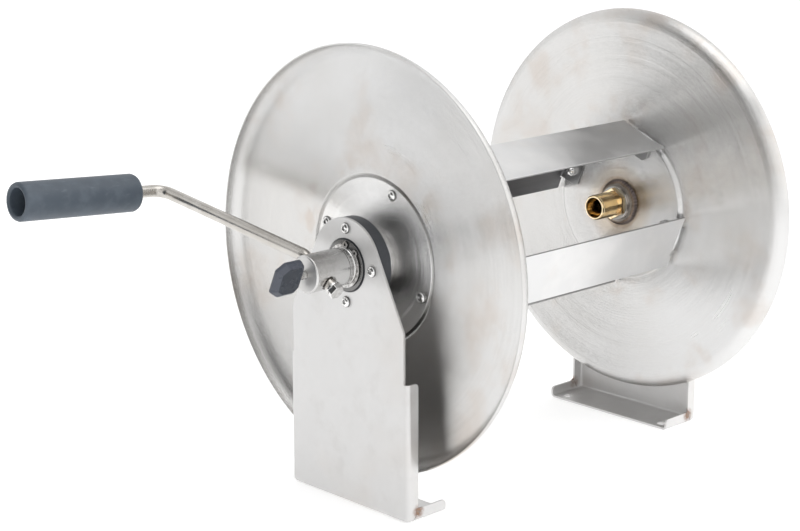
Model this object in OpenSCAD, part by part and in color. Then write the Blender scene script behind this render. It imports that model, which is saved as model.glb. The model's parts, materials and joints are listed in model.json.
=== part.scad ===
// Hand-cranked hose reel. Two spun side discs and four bars make the drum, which
// turns between two folded sheet brackets. A clamped crank arm drives it on one
// side, and water enters through a swivel elbow on the other.
//
// X runs along the drum axis with the crank at -X, the front is -Y and Z is up.
// The origin is the centre of the four foot holes, on the floor.

/* [Drum] */
// Outside diameter of the side discs
disc_d = 400; // [360:5:430]
// Clear width for the hose between the discs
drum_w = 355; // [280:5:420]
// Sheet thickness of the side discs
disc_t = 1.5; // [1:0.1:2]
// Outer radius of the roll at the rim
rim_r = 13.5; // [10:0.5:14]
// Straight edge after the roll
rim_edge = 1; // [0.5:0.1:3]
// How deep the disc centre is pressed towards the hose
dish_depth = 4; // [3:0.25:5]
// Radius of the flat floor of the pressed centre
dish_r = 76.5; // [70:0.5:84]
// Radial run of the sloping wall round the pressed centre
dish_run = 4; // [2:0.5:4.5]
// Distance from the edge of the pressed floor in to the bar screws
bar_screw_in = 8.5; // [6:0.5:9.5]
// Distance from the outer face of a bar in to its screws
bar_screw_drop = 14; // [11.5:0.5:16]
// Width of each drum bar
bar_w = 58; // [46:1:64]
// Sheet thickness of the drum bars
bar_t = 2; // [1.5:0.1:3]
// Width of the folded tab at each end of a bar
tab_w = 28; // [22:1:34]
// How far a tab reaches in from the outer face of its bar
tab_len = 26; // [23:0.5:32]
// Angle of the first bar from straight up, towards the front
bar_phase = 21.5; // [0:0.5:45]

/* [Hub] */
// Thickness of the hub plates
hub_plate_t = 3; // [2:0.5:4]
// Diameter of the axles
axle_d = 35; // [30:0.5:38]
// How far each axle reaches into the drum past its disc
axle_stub = 8.5; // [6:0.5:14]
// Outside radius of the hub collars
collar_r = 29; // [26:0.5:36]
// Axial length of the hub collars
collar_t = 5; // [3:0.5:8]
// Outside radius of the weld bead round each axle
bead_r = 24; // [21:0.5:28]
// Axial height of the weld beads
bead_h = 4.5; // [3:0.5:6]

/* [Brackets] */
// Height of the drum axis above the floor
axis_h = 229.5; // [224:0.5:260]
// Sheet thickness of the brackets
sheet_t = 2.5; // [1.5:0.1:3]
// Outer radius of the folds
fold_r = 5; // [4:0.25:6]
// Overall width of each bracket
bracket_w = 160; // [144:1:190]
// Radius of the rounded bracket top about the axis
top_r = 44; // [42:0.5:52]
// How far below the axis the sloping sides end
taper_drop = 50; // [36:1:60]
// Width of the folded side flanges
flange_w = 14; // [10:0.5:18]
// Height of the side flanges above the floor
flange_h = 132; // [80:1:150]
// Depth of the foot from the outer face of the bracket
foot_depth = 49.5; // [41.5:0.5:63]
// Height of the upturned ends of the foot
lip_h = 12; // [10:0.5:16]
// Running gap between a disc rim and the side flanges
rim_gap = 6; // [2:0.5:8]
// Radius of the foot holes
foot_hole_r = 4.5; // [3:0.5:5]
// Distance of the foot holes from the inner edge of the foot
foot_hole_in = 10.5; // [9:0.5:14]
// Distance of the foot holes from the sides of the bracket
foot_hole_side = 15; // [13:0.5:30]

/* [Bearings] */
// How far the plastic bearing blocks stay inside the rounded bracket top
block_margin = 0.5; // [0:0.25:2]
// Thickness of the bearing blocks behind the bracket
block_t = 14; // [12:0.5:17]
// Radius of the spigot that centres a block in its bracket
spigot_r = 25; // [24:0.5:27]
// Distance from the edge of the rounded bracket top in to the bearing screws
block_screw_in = 9.5; // [8:0.25:11]
// Outside radius of the thrust washers
washer_r = 24; // [22:0.5:26]
// Thickness of the thrust washers
washer_t = 1.5; // [1:0.1:2]
// Thickness of the circlips
circlip_t = 1.5; // [1.2:0.1:2]
// Radial width of the circlips
circlip_w = 4; // [3:0.25:5]
// Depth of the circlip grooves
groove_depth = 1; // [0.8:0.1:1.5]

/* [Screws] */
// Thread diameter of the button head screws
screw_d = 6; // [5:0.5:6]
// Head diameter of the button head screws
screw_head_d = 10.5; // [9:0.5:11]
// Head height of the button head screws
screw_head_h = 3.3; // [2.8:0.1:4]
// Length of the bearing screws under the head
block_screw_len = 10; // [8:0.5:11]
// Width across the flats of the dome nuts
nut_af = 10; // [9:0.5:11]
// Height of the dome nuts
nut_h = 8; // [7:0.5:10]

/* [Crank] */
// Length of the axle outside the bracket on the crank side
hub_len = 50; // [46.5:0.5:66]
// Distance of the arm hole from the outer face of the bracket
arm_x = 33.5; // [30:0.5:34.5]
// Diameter of the crank arm rod
rod_d = 12; // [10:0.5:14]
// Length of the arm from its bend at the hub to the centre line of the grip
arm_len = 211; // [195:1:240]
// Radius of the grip's bend in the centre line of the rod
rod_bend_r = 14; // [13:0.5:20]
// Slope of the rod above level where it passes through the hub
root_angle = 31; // [0:0.5:45]
// How far the rod bends down beside the hub
root_bend = 23.3; // [10:0.1:30]
// Straight length of rod between the hub and its first bend
root_len = 2.4; // [1:0.1:6]
// Turn of the grip out of the square position
arm_twist = 4.75; // [0:0.25:10]
// How far the rod comes out on the other side of the hub
rod_tail = 4.7; // [3:0.1:8]
// Radius of the counterbore round the end of the rod
spot_r = 7.6; // [7.3:0.1:9]
// Thread diameter of the stop bolt and of the knob stud
stud_d = 8; // [6:0.5:8]
// Width across the flats of the stop bolt head
bolt_af = 13; // [11:0.5:14]
// Height of the stop bolt head
bolt_head_h = 5.3; // [4:0.1:7]
// Thickness of the lock washer under the stop bolt
lock_washer_t = 2; // [1.5:0.1:2.5]

/* [Grip and knob] */
// Outside diameter of the grip
grip_d = 37; // [32:0.5:42]
// Length of the grip
grip_len = 132; // [110:1:150]
// Distance from the arm centre line to the near end of the grip
grip_start = 36; // [30:0.5:50]
// Bore diameter of the open outer end of the grip
grip_bore_d = 26; // [22:0.5:28]
// Depth of the open outer end of the grip
grip_bore_len = 24; // [16:0.5:40]
// Rounding of the ends of the grip
grip_round = 3; // [1.5:0.25:5]
// Full width of the knob wings
knob_w = 36; // [32:0.5:46]
// Length of the knob along the axis
knob_len = 32; // [30:0.5:44]
// Thickness of the knob
knob_t = 10; // [9.5:0.5:16]
// Angle of the knob wings above level
knob_angle = 66; // [0:1:90]
// Gap between the hub face and the knob
knob_gap = 5.5; // [3:0.25:8]

/* [Water fittings] */
// Outside diameter of the hose connector thread
connector_d = 26; // [22:0.5:28]
// Length of the hose connector thread
connector_len = 27; // [20:1:36]
// Bore diameter of the hose connector
connector_bore_d = 21; // [16:0.5:21]
// Width across the flats of the connector hexagon
connector_af = 29; // [28:0.5:32]
// Length of the connector hexagon
connector_hex_len = 5; // [4:0.5:8]
// Bore diameter of the inlet axle
waterway_d = 17; // [14:0.5:17]
// Wall of the inlet axle inside the swivel
swivel_pin_wall = 4; // [3.5:0.25:4.5]
// Length of the inlet axle inside the swivel
swivel_pin_len = 22; // [20:0.5:30]
// Outside diameter of the swivel body
swivel_d = 40; // [38:0.5:44]
// Outside diameter of the inlet thread
inlet_d = 26; // [22:0.5:28]
// Length of the inlet thread
inlet_len = 18; // [14:0.5:24]
// Distance from the drum axis to the open end of the inlet
inlet_drop = 62; // [56:1:80]

/* [Hidden] */
$fn = 96;

bar_count = 4;
block_screw_count = 4;
run_gap = 0.3;        // gap between faces that move past each other
turn_fit = 0.05;      // radial clearance of a shaft that turns or slides in its hole
seat_fit = 0.1;       // clearance of pieces that are fixed in each other
cut = 1;              // how far a cutting tool runs past a face

disc_r = disc_d / 2;
plate_margin = 0.5;   // how far the hub plate stays inside the edge of the pressed floor
hub_plate_r = dish_r - plate_margin;
bar_screw_r = dish_r - bar_screw_in;
bar_face_r = bar_screw_r + bar_screw_drop;
block_r = top_r - block_margin;
block_screw_r = top_r - block_screw_in;
axle_r = axle_d / 2;
screw_r = screw_d / 2;
stud_r = stud_d / 2;
rod_r = rod_d / 2;

// Stations along +X, from the hose side outwards. The crank side mirrors them.
disc_in = drum_w / 2;
disc_out = disc_in + disc_t;
dish_in = disc_in - dish_depth;
dish_out = dish_in + disc_t;
hub_plate_out = dish_out + hub_plate_t;
rim_out = disc_in + rim_r + rim_edge;
bracket_out = rim_out + rim_gap + flange_w;
bracket_in = bracket_out - sheet_t;
block_in = bracket_in - block_t;
axle_in = dish_in - axle_stub;
washer_in = bracket_out + run_gap;
circlip_in = washer_in + washer_t;
circlip_out = circlip_in + circlip_t;
hub_end = bracket_out + hub_len;
rod_x = bracket_out + arm_x;

flange_in = bracket_out - flange_w;
foot_in = bracket_out - foot_depth;
foot_hole_x = foot_in + foot_hole_in;
half_w = bracket_w / 2;
flat_w = half_w - fold_r;
foot_hole_y = half_w - foot_hole_side;
corner_r = 4;         // rounding of the free corners of the flanges

dome_steps = 5;       // flats in the rounding of a dome
head_lip = 0.6;       // straight edge under the dome of a screw head
nut_step = 0.3;       // how far the dome stands in from the flats of its nut
nut_crown = 1.8;      // metal left over the end of the hole in a dome nut
socket_af = 4;
socket_depth = 1.8;
axle_chamfer = 1.2;
block_chamfer = 1;
block_hole_clear = 1; // room past the end of a bearing screw
relief_depth = 0.5;
relief_len = 6;
circlip_gap = 16;     // half of the opening of a circlip, in degrees
circlip_lug_turn = 20;
circlip_lug_r = 3.1;
circlip_hole_r = 1.25;
circlip_angle = 64;   // where the openings point, above level at the front

bar_fold_r = bar_t + 1;
fold_lap = 0.5;       // how far a fold runs on into the flats beside it
tab_corner = 4;
tab_relief = 2;       // width of the slot beside each tab
bar_screw_tail = 3;

// how far each leg of the first bend runs past its corner, in tenths of a millimetre
root_lap = ceil(10 * rod_r * tan(root_bend / 2)) / 10;
root_reach = axle_r + root_len + rod_bend_r * tan(root_bend / 2);
rod_end_y = -(axle_r + rod_tail);
bolt_thread_len = 14;
spot_depth = 4;
grip_end = grip_start + grip_len;
grip_floor = grip_end - grip_bore_len;
rod_over = 5;         // how far the rod stands out of the floor of the grip's bore
retainer_t = 1;
retainer_r = 10;
knob_in = hub_end + knob_gap;
knob_bevel = 1.6;
knob_hole = 14;       // depth of the stud's hole in the knob

pin_in = circlip_out + axle_chamfer;
pin_out = pin_in + swivel_pin_len;
pin_r = waterway_d / 2 + swivel_pin_wall;
seal_r = 1.3;         // radius of the seal cord
seal_at = [0.42, 0.72];
clip_depth = 1;
clip_t = 1.2;
clip_x = pin_in + 2;
connector_root_r = waterway_d / 2 + 3;
connector_root_len = 8;
swivel_in = pin_in + run_gap;
swivel_wall = 4;
chamber_x = pin_out + run_gap + inlet_d / 2 - swivel_wall;
swivel_out = chamber_x + inlet_d / 2 + swivel_wall;
nipple_hex_h = 10;
nipple_top = inlet_drop - inlet_len - nipple_hex_h;

hex_corner = 1 / cos(30);

// ---- Shared shapes -------------------------------------------------------------

module near_side() {
    mirror([1, 0, 0]) children();
}

module on_axis() {
    translate([0, 0, axis_h]) children();
}

// A turned piece: the profile's points are [radius, place along X].
module turned() {
    on_axis() rotate([0, 90, 0]) rotate_extrude() children();
}

module xcyl(r, from, to) {
    translate([from, 0, 0]) rotate([0, 90, 0]) cylinder(r = r, h = to - from);
}

module ycyl(r, from, to) {
    translate([0, from, 0]) rotate([-90, 0, 0]) cylinder(r = r, h = to - from);
}

module xhex(af, from, to) {
    translate([from, 0, 0]) rotate([0, 90, 0])
        cylinder(r = af / 2 * hex_corner, h = to - from, $fn = 6);
}

// Repeats a piece on a circle about the drum axis, with local +Z pointing outwards.
module around(radius, count, phase) {
    for (i = [0 : count - 1])
        on_axis() rotate([phase + i * 360 / count, 0, 0]) translate([0, 0, radius]) children();
}

// A quarter of a bent sheet, in the quadrant +X +Y about the bend's centre.
module fold_quarter(outer, thick) {
    intersection() {
        difference() {
            circle(r = outer);
            circle(r = outer - thick);
        }
        square(outer + cut);
    }
}

// Points of a dome of radius r that rises by h from y = base, for a turned profile.
function dome(r, base, h) =
    [for (i = [0 : dome_steps]) [r * cos(i * 90 / dome_steps), base + h * sin(i * 90 / dome_steps)]];

// Button head screw along +X, its head seated at x = 0 and its thread running to -length.
module button_screw(length) {
    head_r = screw_head_d / 2;
    difference() {
        rotate([0, 90, 0]) rotate_extrude($fn = 48)
            polygon(concat([[0, -length], [screw_r, -length], [screw_r, 0], [head_r, 0]],
                           dome(head_r, head_lip, screw_head_h - head_lip)));
        xhex(socket_af, screw_head_h - socket_depth, screw_head_h + cut);
    }
}

// Dome nut along -X, seated at x = 0, with a blind hole for its screw.
module dome_nut() {
    dome_r = nut_af / 2 - nut_step;
    skirt_h = nut_h / 2;
    difference() {
        union() {
            xhex(nut_af, -skirt_h, 0);
            rotate([0, -90, 0]) rotate_extrude($fn = 48)
                polygon(concat([[0, skirt_h - cut], [dome_r, skirt_h - cut]],
                               dome(dome_r, skirt_h, nut_h - skirt_h)));
        }
        xcyl(screw_r + seat_fit / 2, -nut_h + nut_crown, cut);
    }
}

// ---- Brackets --------------------------------------------------------------------

// Front outline of a bracket, in Y and Z, down to the start of the foot fold.
module bracket_outline() {
    corner_z = axis_h - taper_drop;
    reach = norm([flat_w, taper_drop]);
    touch = atan2(-taper_drop, flat_w) + acos(top_r / reach);
    tangent = [top_r * cos(touch), axis_h + top_r * sin(touch)];
    translate([0, axis_h]) circle(r = top_r);
    polygon([[-tangent[0], tangent[1]], tangent, [flat_w, corner_z], [flat_w, fold_r],
             [-flat_w, fold_r], [-flat_w, corner_z]]);
}

module bracket_side() {
    // upright fold and flange
    translate([bracket_out - fold_r, flat_w, fold_r])
        linear_extrude(flange_h - fold_r) fold_quarter(fold_r, sheet_t);
    difference() {
        translate([flange_in, half_w - sheet_t, fold_r])
            cube([flange_w - fold_r, sheet_t, flange_h - fold_r]);
        translate([flange_in, half_w - sheet_t - cut, flange_h])
            rotate([-90, 0, 0]) flange_corner(sheet_t + 2 * cut);
    }
    // upturned end of the foot
    translate([foot_in, flat_w, fold_r]) rotate([90, 0, 90]) mirror([0, 1, 0])
        linear_extrude(foot_depth - fold_r) fold_quarter(fold_r, sheet_t);
    difference() {
        translate([foot_in, half_w - sheet_t, fold_r])
            cube([foot_depth - flange_w, sheet_t, lip_h - fold_r]);
        translate([foot_in, half_w - sheet_t - cut, lip_h])
            rotate([-90, 0, 0]) flange_corner(sheet_t + 2 * cut);
    }
    // ball corner where the three folds meet
    intersection() {
        translate([bracket_out - fold_r, flat_w, fold_r]) difference() {
            sphere(r = fold_r);
            sphere(r = fold_r - sheet_t);
        }
        translate([bracket_out - fold_r, flat_w, 0]) cube(fold_r);
    }
}

// Tool that rounds off the corner of a flange, whose tip lies at the local origin.
module flange_corner(depth) {
    difference() {
        translate([-cut, -cut, 0]) cube([corner_r + cut, corner_r + cut, depth]);
        translate([corner_r, corner_r, -cut]) cylinder(r = corner_r, h = depth + 2 * cut);
    }
}

module bracket() {
    difference() {
        union() {
            translate([bracket_in, 0, 0]) rotate([90, 0, 90])
                linear_extrude(sheet_t) bracket_outline();
            bracket_side();
            mirror([0, 1, 0]) bracket_side();
            // foot plate and the fold that joins it
            translate([foot_in, -flat_w, 0])
                cube([foot_depth - fold_r, 2 * flat_w, sheet_t]);
            translate([bracket_out - fold_r, flat_w, fold_r]) rotate([90, 0, 0])
                mirror([0, 1, 0]) linear_extrude(2 * flat_w)
                fold_quarter(fold_r, sheet_t);
        }
        on_axis() xcyl(spigot_r + seat_fit, bracket_in - cut, bracket_out + cut);
        around(block_screw_r, block_screw_count, 0)
            xcyl(screw_r + seat_fit, bracket_in - cut, bracket_out + cut);
        for (side = [-1, 1])
            translate([foot_hole_x, side * foot_hole_y, -cut])
                cylinder(r = foot_hole_r, h = sheet_t + 2 * cut);
    }
}

module near_bracket() {
    color("lightgray") near_side() bracket();
}

module far_bracket() {
    color("lightgray") bracket();
}

// ---- Bearing blocks, washers and circlips -----------------------------------------

module bearing_block() {
    difference() {
        turned() polygon([[0, block_in], [block_r - block_chamfer, block_in],
                          [block_r, block_in + block_chamfer], [block_r, bracket_in],
                          [spigot_r, bracket_in], [spigot_r, bracket_out], [0, bracket_out]]);
        on_axis() xcyl(axle_r + turn_fit, block_in - cut, bracket_out + cut);
        around(block_screw_r, block_screw_count, 0)
            xcyl(screw_r + turn_fit, bracket_out - block_screw_len - block_hole_clear,
                 bracket_out + cut);
    }
}

module near_bearing_block() {
    color([0.19, 0.2, 0.22]) near_side() bearing_block();
}

module far_bearing_block() {
    color([0.19, 0.2, 0.22]) bearing_block();
}

module bearing_screws() {
    around(block_screw_r, block_screw_count, 0)
        translate([bracket_out, 0, 0]) button_screw(block_screw_len);
}

module near_bearing_screws() {
    color("gainsboro") near_side() bearing_screws();
}

module far_bearing_screws() {
    color("gainsboro") bearing_screws();
}

module thrust_washer() {
    difference() {
        on_axis() xcyl(washer_r, washer_in, washer_in + washer_t);
        on_axis() xcyl(axle_r + seat_fit, washer_in - cut, washer_in + washer_t + cut);
    }
}

module near_thrust_washer() {
    color("silver") near_side() thrust_washer();
}

module far_thrust_washer() {
    color("silver") thrust_washer();
}

module circlip() {
    inner = axle_r - groove_depth + seat_fit;
    outer = axle_r + circlip_w - groove_depth;
    lug_at = outer - circlip_w / 2 + circlip_lug_r / 2;
    far_edge = 2 * outer;
    on_axis() translate([circlip_in, 0, 0]) rotate([0, 90, 0]) rotate(-90 - circlip_angle)
        linear_extrude(circlip_t) difference() {
            union() {
                difference() {
                    circle(r = outer);
                    polygon([[0, 0], [far_edge, -far_edge * tan(circlip_gap)],
                             [far_edge, far_edge * tan(circlip_gap)]]);
                }
                for (side = [-1, 1])
                    rotate(side * circlip_lug_turn) translate([lug_at, 0])
                        circle(r = circlip_lug_r);
            }
            circle(r = inner);
            for (side = [-1, 1])
                rotate(side * circlip_lug_turn) translate([lug_at, 0]) circle(r = circlip_hole_r);
        }
}

module near_circlip() {
    color("silver") near_side() circlip();
}

module far_circlip() {
    color("silver") circlip();
}

// ---- Side discs, hub plates and bars -----------------------------------------------

module bar_screw_holes(from, to) {
    around(bar_screw_r, bar_count, bar_phase) xcyl(screw_r + seat_fit, from, to);
}

module side_disc() {
    rim_start = disc_r - rim_r;
    difference() {
        turned() {
            polygon([[axle_r + seat_fit, dish_in], [dish_r, dish_in],
                     [dish_r + dish_run, disc_in], [rim_start, disc_in], [rim_start, disc_out],
                     [dish_r + dish_run, disc_out], [dish_r, dish_out],
                     [axle_r + seat_fit, dish_out]]);
            translate([rim_start, disc_in + rim_r]) mirror([0, 1]) fold_quarter(rim_r, disc_t);
            translate([disc_r - disc_t, disc_in + rim_r]) square([disc_t, rim_edge]);
        }
        bar_screw_holes(dish_in - cut, dish_out + cut);
    }
}

module near_disc() {
    color("silver") near_side() side_disc();
}

module far_disc() {
    color("silver") side_disc();
}

module hub_plate() {
    difference() {
        on_axis() xcyl(hub_plate_r, dish_out, hub_plate_out);
        on_axis() xcyl(axle_r + seat_fit, dish_out - cut, hub_plate_out + cut);
        bar_screw_holes(dish_out - cut, hub_plate_out + cut);
    }
}

module near_hub_plate() {
    color("silver") near_side() hub_plate();
}

module far_hub_plate() {
    color("silver") hub_plate();
}

// One end of a bar, in a frame where Z points away from the drum axis.
module bar_tab() {
    fold_x = dish_in - bar_fold_r;
    low = bar_face_r - tab_len;
    translate([fold_x, tab_w / 2, bar_face_r - bar_fold_r]) rotate([90, 0, 0])
        linear_extrude(tab_w) {
            fold_quarter(bar_fold_r, bar_t);
            // short legs that lap into the flats on both sides of the fold
            translate([-fold_lap, bar_fold_r - bar_t]) square([fold_lap, bar_t]);
            translate([bar_fold_r - bar_t, -fold_lap]) square([bar_t, fold_lap]);
        }
    translate([dish_in - bar_t, 0, 0]) rotate([90, 0, 90]) linear_extrude(bar_t)
        polygon([[-tab_w / 2, bar_face_r - bar_fold_r], [-tab_w / 2, low + tab_corner],
                 [-tab_w / 2 + tab_corner, low], [tab_w / 2 - tab_corner, low],
                 [tab_w / 2, low + tab_corner], [tab_w / 2, bar_face_r - bar_fold_r]]);
}

module drum_bar(index) {
    slot_y = tab_w / 2 + tab_relief;
    fold_x = dish_in - bar_fold_r;
    half = bar_w / 2;
    end_line = [[dish_in, -half], [dish_in, -slot_y], [fold_x, -slot_y],
                [fold_x, slot_y], [dish_in, slot_y], [dish_in, half]];
    color("gainsboro") on_axis() rotate([bar_phase + index * 360 / bar_count, 0, 0])
        difference() {
            union() {
                translate([0, 0, bar_face_r - bar_t]) linear_extrude(bar_t)
                    polygon(concat(end_line, [for (p = end_line) [-p[0], -p[1]]]));
                bar_tab();
                mirror([1, 0, 0]) bar_tab();
            }
            translate([0, 0, bar_screw_r]) xcyl(screw_r + seat_fit, -dish_in - cut, dish_in + cut);
        }
}

module bar_screws() {
    around(bar_screw_r, bar_count, bar_phase) translate([hub_plate_out, 0, 0])
        button_screw(hub_plate_t + disc_t + bar_t + bar_screw_tail);
}

module near_bar_screws() {
    color("gainsboro") near_side() bar_screws();
}

module far_bar_screws() {
    color("gainsboro") bar_screws();
}

module bar_nuts() {
    around(bar_screw_r, bar_count, bar_phase) translate([dish_in - bar_t, 0, 0]) dome_nut();
}

module near_bar_nuts() {
    color("gainsboro") near_side() bar_nuts();
}

module far_bar_nuts() {
    color("gainsboro") bar_nuts();
}

// ---- Collars, beads and axles --------------------------------------------------------

module collar() {
    difference() {
        on_axis() xcyl(collar_r, hub_plate_out, hub_plate_out + collar_t);
        on_axis() xcyl(axle_r + seat_fit, hub_plate_out - cut, block_in);
    }
}

module near_collar() {
    color("silver") near_side() collar();
}

module far_collar() {
    color("silver") collar();
}

// Fillet weld between the axle and the hose side of the disc.
module weld_bead() {
    base_r = axle_r + seat_fit;
    crown = 0.72;         // where the bead bulges, as parts of its leg lengths
    turned() polygon([[base_r, dish_in], [bead_r, dish_in], [bead_r, dish_in - bead_h / 3],
                      [base_r + (bead_r - base_r) * crown, dish_in - bead_h * crown],
                      [base_r + (bead_r - base_r) / 3, dish_in - bead_h],
                      [base_r, dish_in - bead_h]]);
}

module near_weld_bead() {
    color("rosybrown") near_side() weld_bead();
}

module far_weld_bead() {
    color("rosybrown") weld_bead();
}

// Turned outline of an axle up to the outer end of its circlip groove, alike on both sides.
function journal_profile() = [
    [0, axle_in], [axle_r, axle_in], [axle_r, circlip_in - seat_fit / 2],
    [axle_r - groove_depth, circlip_in - seat_fit / 2],
    [axle_r - groove_depth, circlip_out + seat_fit / 2], [axle_r, circlip_out + seat_fit / 2]];

module crank_axle() {
    relief_in = circlip_out + axle_chamfer;
    relief_out = relief_in + relief_len;
    color("silver") near_side() difference() {
        turned() polygon(concat(journal_profile(),
            [[axle_r, relief_in], [axle_r - relief_depth, relief_in + relief_depth],
             [axle_r - relief_depth, relief_out - relief_depth], [axle_r, relief_out],
             [axle_r, hub_end - axle_chamfer], [axle_r - axle_chamfer, hub_end], [0, hub_end]]));
        translate([rod_x, 0, axis_h]) rotate([root_angle, 0, 0]) {
            ycyl(rod_r + turn_fit, -axle_d, axle_d);
            ycyl(spot_r, -axle_d, spot_depth - axle_r);
        }
        on_axis() xcyl(stud_r + turn_fit, rod_x, hub_end + cut);
    }
}

module inlet_axle() {
    seal_floor = pin_r - 2 * seal_r - turn_fit;
    color("silver") difference() {
        turned() polygon(concat(journal_profile(),
            [[axle_r, pin_in], [pin_r, pin_in], [pin_r, pin_out - axle_chamfer],
             [pin_r - axle_chamfer, pin_out], [0, pin_out]]));
        on_axis() xcyl(waterway_d / 2, axle_in - cut, pin_out + cut);
        on_axis() xcyl(connector_root_r + seat_fit, axle_in - cut,
                       axle_in + connector_root_len + seat_fit);
        for (part = seal_at)
            turned() translate([seal_floor, pin_in + part * swivel_pin_len - seal_r - seat_fit])
                square([pin_r + cut - seal_floor, 2 * (seal_r + seat_fit)]);
        turned() translate([pin_r - clip_depth, clip_x - run_gap])
            square([clip_depth + cut, clip_t + 2 * run_gap]);
    }
}

// ---- Water fittings --------------------------------------------------------------------

module hose_connector() {
    hex_in = axle_in - connector_hex_len;
    thread_in = hex_in - connector_len;
    color("goldenrod") difference() {
        union() {
            on_axis() xcyl(connector_d / 2, thread_in, hex_in);
            on_axis() xhex(connector_af, hex_in, axle_in);
            on_axis() xcyl(connector_root_r, axle_in - cut, axle_in + connector_root_len);
        }
        on_axis() xcyl(connector_bore_d / 2, thread_in - cut, hex_in);
        on_axis() xcyl(waterway_d / 2, hex_in - cut, axle_in + connector_root_len + cut);
    }
}

module swivel_elbow() {
    bore_r = pin_r + turn_fit;
    color("darkgoldenrod") difference() {
        union() {
            on_axis() xcyl(swivel_d / 2, swivel_in, swivel_out);
            translate([chamber_x, 0, axis_h - nipple_top])
                cylinder(r = inlet_d / 2 + swivel_wall / 2, h = nipple_top);
        }
        on_axis() xcyl(bore_r, swivel_in - cut, pin_out + run_gap);
        on_axis() xcyl(waterway_d / 2, pin_out, chamber_x + waterway_d / 2);
        translate([chamber_x, 0, axis_h - nipple_top - cut])
            cylinder(r = waterway_d / 2, h = nipple_top + cut);
        turned() translate([pin_r, clip_x - seat_fit])
            square([clip_depth + seat_fit, clip_t + 2 * seat_fit]);
    }
}

module swivel_seals() {
    color([0.1, 0.1, 0.1]) for (part = seal_at)
        turned() translate([pin_r - seal_r, pin_in + part * swivel_pin_len]) circle(r = seal_r);
}

// Spring ring in the groove that keeps the swivel on the axle.
module swivel_clip() {
    color("silver") difference() {
        on_axis() xcyl(pin_r + clip_depth, clip_x, clip_x + clip_t);
        on_axis() xcyl(pin_r - clip_depth + run_gap, clip_x - cut, clip_x + clip_t + cut);
        on_axis() translate([clip_x - cut, -clip_t, 0])
            cube([clip_t + 2 * cut, 2 * clip_t, swivel_d]);
    }
}

module inlet_nipple() {
    color("goldenrod") translate([chamber_x, 0, axis_h - inlet_drop]) difference() {
        union() {
            cylinder(r = inlet_d / 2, h = inlet_len);
            translate([0, 0, inlet_len])
                cylinder(r = connector_af / 2 * hex_corner, h = nipple_hex_h, $fn = 6);
        }
        translate([0, 0, -cut])
            cylinder(r = waterway_d / 2, h = inlet_len + nipple_hex_h + 2 * cut);
    }
}

// ---- Crank -------------------------------------------------------------------------------

// Frame of the rod's root, which runs along +Y through the hub.
module root_frame() {
    translate([-rod_x, 0, axis_h]) rotate([root_angle, 0, 0]) children();
}

// Frame of the arm: it runs along +Y from the first bend, and the grip points along -X.
module arm_frame() {
    root_frame() translate([0, root_reach, 0])
        rotate([-root_bend, 0, 0]) rotate([0, arm_twist, 0]) children();
}

module crank_rod() {
    color("lightgray") difference() {
        union() {
            root_frame() ycyl(rod_r, rod_end_y, root_reach + root_lap);
            arm_frame() {
                ycyl(rod_r, -root_lap, arm_len - rod_bend_r);
                translate([-rod_bend_r, arm_len - rod_bend_r, 0])
                    rotate_extrude(angle = 90) translate([rod_bend_r, 0]) circle(r = rod_r);
                translate([-grip_floor - rod_over, arm_len, 0])
                    xcyl(rod_r, 0, grip_floor + rod_over - rod_bend_r);
            }
        }
        root_frame() ycyl(stud_r + turn_fit, rod_end_y - cut, rod_end_y + bolt_thread_len + cut);
    }
}

module stop_washer() {
    color("silver") root_frame() difference() {
        ycyl(spot_r - run_gap, rod_end_y - lock_washer_t, rod_end_y);
        ycyl(stud_r + seat_fit, rod_end_y - lock_washer_t - cut, rod_end_y + cut);
    }
}

module stop_bolt() {
    head_y = rod_end_y - lock_washer_t;
    color("gainsboro") root_frame() {
        ycyl(stud_r, head_y, rod_end_y + bolt_thread_len);
        translate([0, head_y - bolt_head_h, 0]) rotate([-90, 0, 0])
            cylinder(r = bolt_af / 2 * hex_corner, h = bolt_head_h, $fn = 6);
    }
}

// Push-on ring that holds the grip on the rod, inside the grip's open end.
module grip_retainer() {
    place = -grip_floor - run_gap;
    color("silver") arm_frame() translate([0, arm_len, 0]) difference() {
        xcyl(retainer_r, place - retainer_t, place);
        xcyl(rod_r + seat_fit / 2, place - retainer_t - cut, place + cut);
    }
}

module crank_grip() {
    r = grip_d / 2;
    color([0.27, 0.31, 0.36]) arm_frame() translate([0, arm_len, 0]) difference() {
        rotate([0, -90, 0]) rotate_extrude() {
            translate([0, grip_start]) square([r - grip_round, grip_len]);
            translate([0, grip_start + grip_round]) square([r, grip_len - 2 * grip_round]);
            for (y = [grip_start + grip_round, grip_end - grip_round])
                translate([r - grip_round, y]) circle(r = grip_round);
        }
        xcyl(rod_r + turn_fit, -grip_end, -grip_start + cut);
        xcyl(grip_bore_d / 2, -grip_end - cut, -grip_floor);
    }
}

module knob_stud() {
    color("gainsboro") near_side() on_axis()
        xcyl(stud_r, rod_x + rod_r + run_gap, knob_in + knob_hole);
}

// Flat wing outline, in X along the axis and Y across the wings, drawn in by inset.
module knob_outline(inset) {
    half = knob_w / 2 - inset;
    neck = knob_w / 3 - inset / 2;
    inner_slope = knob_w / 7;
    outer_slope = knob_w / 4;
    polygon([[inset, -neck], [inner_slope + inset / 2, -half], [knob_len - outer_slope, -half],
             [knob_len - inset, -neck], [knob_len - inset, neck],
             [knob_len - outer_slope, half], [inner_slope + inset / 2, half], [inset, neck]]);
}

module clamp_knob() {
    color([0.27, 0.31, 0.36]) near_side() translate([knob_in, 0, axis_h])
        rotate([90 - knob_angle, 0, 0]) rotate([90, 0, 0]) difference() {
            hull() {
                translate([0, 0, -knob_t / 2 + knob_bevel])
                    linear_extrude(knob_t - 2 * knob_bevel) knob_outline(0);
                translate([0, 0, -knob_t / 2]) linear_extrude(knob_t) knob_outline(knob_bevel);
            }
            xcyl(stud_r + turn_fit, -cut, knob_hole + cut);
        }
}

// ---- Nodes ---------------------------------------------------------------------------------

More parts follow.
